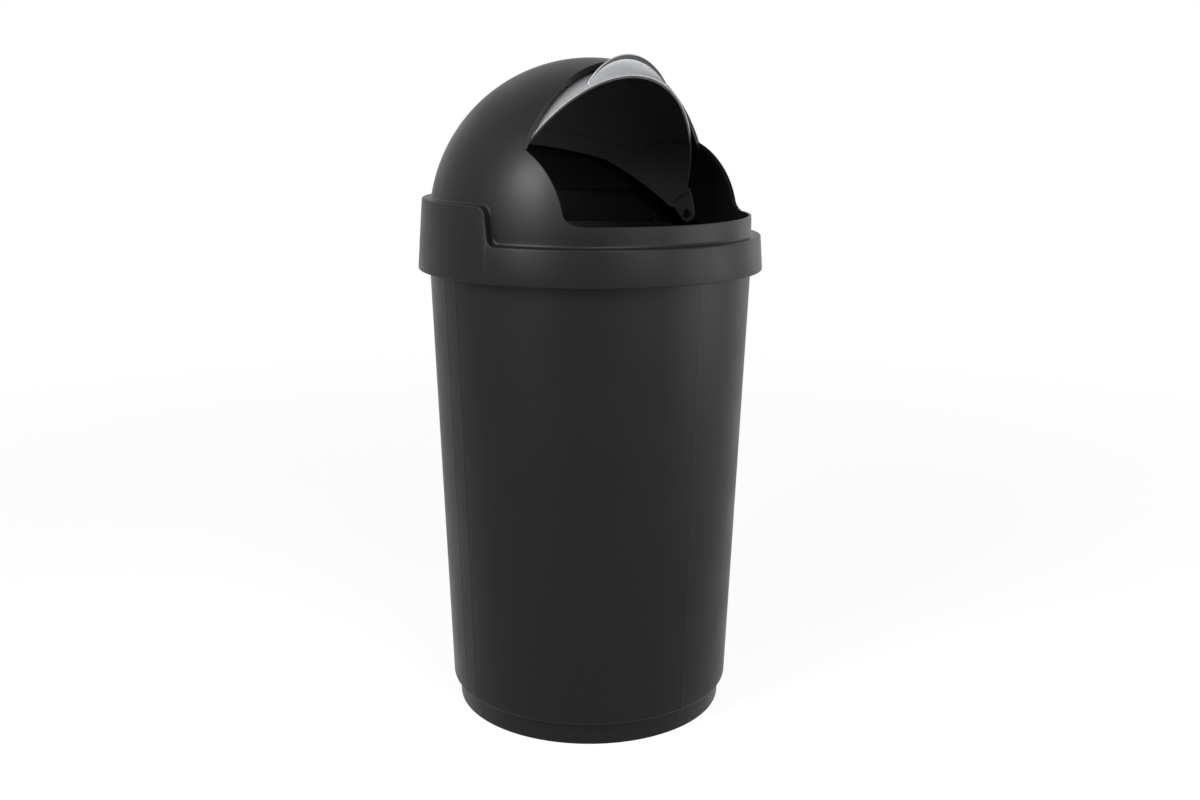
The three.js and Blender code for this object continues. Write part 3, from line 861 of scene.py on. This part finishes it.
def gripEdge(x):
    # the turned edge's outer and inner line at x, and the share of the grip's full reach there
    tilt = math.radians(grip["tilt"])
    lipTilt = math.radians(grip["tilt"] - grip["lipTurn"])
    chord = math.sqrt(grip["arc"] ** 2 - grip["halfWidth"] ** 2)
    reach = math.sqrt(grip["arc"] ** 2 - x ** 2) - chord
    share = reach / (grip["arc"] - chord)
    lip = grip["lip"] * math.sqrt(max(share, 0))
    endHeight = flapLow + grip["rise"]
    endForward = flapSurface(grip["halfWidth"], endHeight, flap["radius"]) + grip["stand"]
    edge = (endForward + reach * math.cos(tilt), endHeight + reach * math.sin(tilt))
    inner = (edge[0] - lip * math.cos(lipTilt), edge[1] - lip * math.sin(lipTilt))
    return edge, inner, share


def buildGrip():
    # crescent shelf with a hollow underside and a turned edge, where fingers catch the flap
    radius = flap["radius"]
    root = radius - flap["faceWall"] / 2
    wall, nose = grip["wall"], grip["nose"]
    rings = []
    for i in range(grip["stations"] + 1):
        x = grip["halfWidth"] * (2 * i / grip["stations"] - 1)
        edge, inner, share = gripEdge(x)
        start = (flapSurface(x, flapLow, radius), flapLow)
        backHeight = edge[1] + wall + grip["back"] * share
        back = (flapSurface(x, backHeight, radius), backHeight)
        top = (edge[0] - grip["noseTop"] * wall, edge[1] + wall)
        outline = [
            (flapSurface(x, flapLow, root), flapLow),
            *bend(start, between(start, inner, grip["hollow"]), inner, grip["hollowSteps"]),
            edge,
            (edge[0] + nose[0] * wall, edge[1] + nose[1] * wall),
            *bend(top, between(back, top, grip["saddle"]), back, grip["saddleSteps"]),
            (flapSurface(x, backHeight, root), backHeight),
        ]
        rings.append([(x, -f, z) for f, z in outline])
    return skin("grip", rings, wrap=False, closedRings=True)


def buildFlapFace():
    radius = flap["radius"]
    halfWidth, back = flap["faceHalfWidth"], flap["faceBack"]
    panel = flapSkin("flapFace", radius, radius - flap["faceWall"])
    panel = combine(panel, faceRoom(halfWidth, back, flapLow), "INTERSECT")
    panel = combine(panel, buildGrip(), "UNION")
    panel.data.transform(openTurn)
    return panel


def paintLipShade(piece, material):
    # gives the faces on the grip's turned edge a darker silver: painted shade on the lip's underside
    piece.data.materials.append(material)
    closing = openTurn.inverted()
    for face in piece.data.polygons:
        centre = closing @ face.center * perMetre
        if abs(centre.x) > grip["halfWidth"] - grip["endClear"]:
            continue
        edge, inner = gripEdge(centre.x)[:2]
        along = (edge[0] - inner[0], edge[1] - inner[1])
        off = (-centre.y - inner[0], centre.z - inner[1])
        width = math.hypot(*along)
        across = abs(along[0] * off[1] - along[1] * off[0]) / width
        place = (along[0] * off[0] + along[1] * off[1]) / width
        if across < grip["shadeNear"] and 0 < place < width:
            face.material_index = 1


flapPiece = buildFlapShell()
dress(flapPiece, "flap_shell", "flap", flapMaterial)
facePiece = buildFlapFace()
dress(facePiece, "flap_face", "flap", faceMaterial)
# the grip's turned edge gets the darker silver: painted shade
paintLipShade(facePiece, lipShadeMaterial)


# --- floor, light and world

studio = {
    "floorColour": "#e9e9e9",
    "floorSize": 12,            # m across
    "floorWhite": (0.9, 1.0),   # share of plain white seen in the floor, near the bin and far off
    "floorReach": (0.6, 2.4),   # m from the bin's middle over which it changes
    "worldColour": "#ffffff",
    "worldLight": 0.06,         # strength on rays other than those of the eye
    # degrees round from the camera, m away, m up, m wide and high, m height aimed at, watts
    "lamps": {
        "softboxLeft": (-46, 1.7, 1.5, (0.6, 0.8), 0.42, 43),
        "softboxTall": (-40, 1.7, 1.15, (0.6, 1.4), 0.5, 22),
        "softboxFront": (35, 1.9, 1.0, (0.9, 1.5), 0.42, 19),
        "softboxTop": (20, 1.5, 2.0, (0.8, 0.8), 0.42, 34),
        "softboxLow": (78, 1.9, 0.45, (1.4, 0.8), 0.3, 20),
        "softboxRim": (125, 1.9, 0.85, (0.9, 1.5), 0.42, 4),
    },
}


def eyeRays(tree):
    # camera, glossy and transmission rays together
    rays = addNode(tree, "ShaderNodeLightPath")
    both = addNode(tree, "ShaderNodeMath", {"operation": "MAXIMUM"}, None,
                   {0: rays.outputs["Is Camera Ray"], 1: rays.outputs["Is Glossy Ray"]})
    return addNode(tree, "ShaderNodeMath", {"operation": "MAXIMUM"}, None,
                   {0: both.outputs[0], 1: rays.outputs["Is Transmission Ray"]})


def buildStudio():
    half = studio["floorSize"] / 2
    mesh = bpy.data.meshes.new("floor")
    corners = [(-half, -half, 0), (half, -half, 0), (half, half, 0), (-half, half, 0)]
    mesh.from_pydata(corners, [], [(0, 1, 2, 3)])
    floor = bpy.data.objects.new("floor", mesh)
    bpy.context.collection.objects.link(floor)
    material, tree, place = newTree("paleStudioFloor")
    matt = addNode(tree, "ShaderNodeBsdfDiffuse", None, {"Color": toLinear(studio["floorColour"])})
    white = addNode(tree, "ShaderNodeEmission", None, {"Strength": 1.0})
    away = addNode(tree, "ShaderNodeVectorMath", {"operation": "LENGTH"}, None, {0: place})
    share = addNode(tree, "ShaderNodeMapRange", {"interpolation_type": "SMOOTHSTEP"},
                    {"From Min": studio["floorReach"][0], "From Max": studio["floorReach"][1],
                     "To Min": studio["floorWhite"][0], "To Max": studio["floorWhite"][1]},
                    {"Value": away.outputs["Value"]})
    seen = addNode(tree, "ShaderNodeMath", {"operation": "MULTIPLY"}, None,
                   {0: eyeRays(tree).outputs[0], 1: share.outputs["Result"]})
    mix = addNode(tree, "ShaderNodeMixShader", None, None,
                  {0: seen.outputs[0], 1: matt.outputs[0], 2: white.outputs[0]})
    addNode(tree, "ShaderNodeOutputMaterial", None, None, {"Surface": mix.outputs[0]})
    mesh.materials.append(material)

    world = bpy.data.worlds.new("studioWorld")
    bpy.context.scene.world = world
    world.use_nodes = True
    tree = world.node_tree
    tree.nodes.clear()
    level = addNode(tree, "ShaderNodeMapRange", None,
                    {"From Min": 0.0, "From Max": 1.0, "To Min": studio["worldLight"], "To Max": 1.0},
                    {"Value": eyeRays(tree).outputs[0]})
    back = addNode(tree, "ShaderNodeBackground", None, {"Color": toLinear(studio["worldColour"])},
                   {"Strength": level.outputs["Result"]})
    addNode(tree, "ShaderNodeOutputWorld", None, None, {"Surface": back.outputs[0]})

    toCamera = math.atan2(cameraView["place"][1], cameraView["place"][0])
    for name, (turn, away, up, size, aim, power) in studio["lamps"].items():
        data = bpy.data.lights.new(name, "AREA")
        data.shape = "RECTANGLE"
        data.size, data.size_y = size
        data.energy = power
        around = toCamera + math.radians(turn)
        light = bpy.data.objects.new(name, data)
        light.location = (away * math.cos(around), away * math.sin(around), up)
        facing = Vector((0, 0, aim)) - light.location
        light.rotation_euler = facing.to_track_quat("-Z", "Y").to_euler()
        bpy.context.collection.objects.link(light)


buildStudio()
print("studio built")
